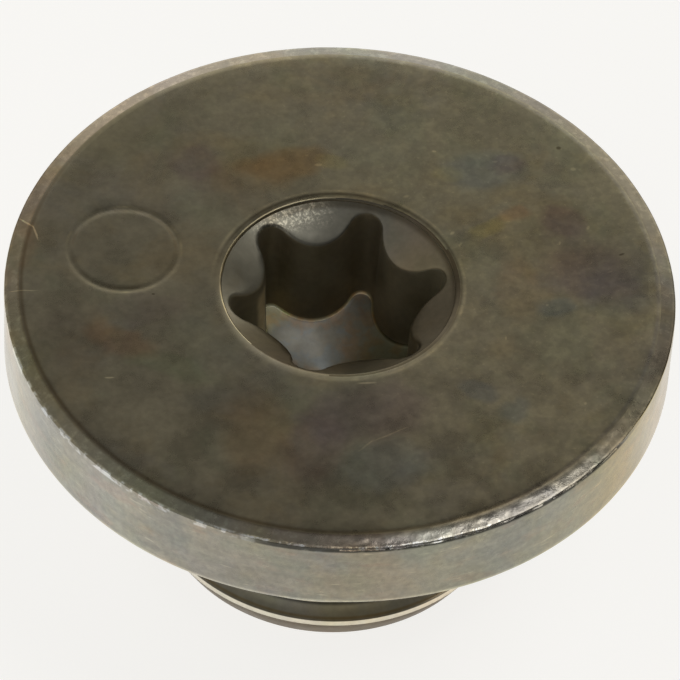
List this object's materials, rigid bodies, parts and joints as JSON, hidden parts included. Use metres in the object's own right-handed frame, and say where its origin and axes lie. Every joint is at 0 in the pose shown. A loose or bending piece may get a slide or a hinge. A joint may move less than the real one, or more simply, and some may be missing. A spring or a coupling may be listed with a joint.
{
  "type": "drain plug",
  "caption": "Low screw-in drain plug: a wide, flat disc head with a bevelled rim and a star-shaped drive socket, on a short threaded shank with a relief neck under the head.",
  "frame": {"origin": "centre of the shank's flat end face, which the plug stands on", "axes": "+Z along the plug's axis, from the shank's end up to the head; +X through one lobe of the socket"},
  "size_m": [0.0244, 0.0244, 0.0125],
  "materials": {
    "dark_steel": "dark phosphate finish, thinly oiled, mottled olive and brown, worn brighter on its edges"
  },
  "bodies": {
    "root": {"plug": "dark_steel"}
  },
  "joints": []
}
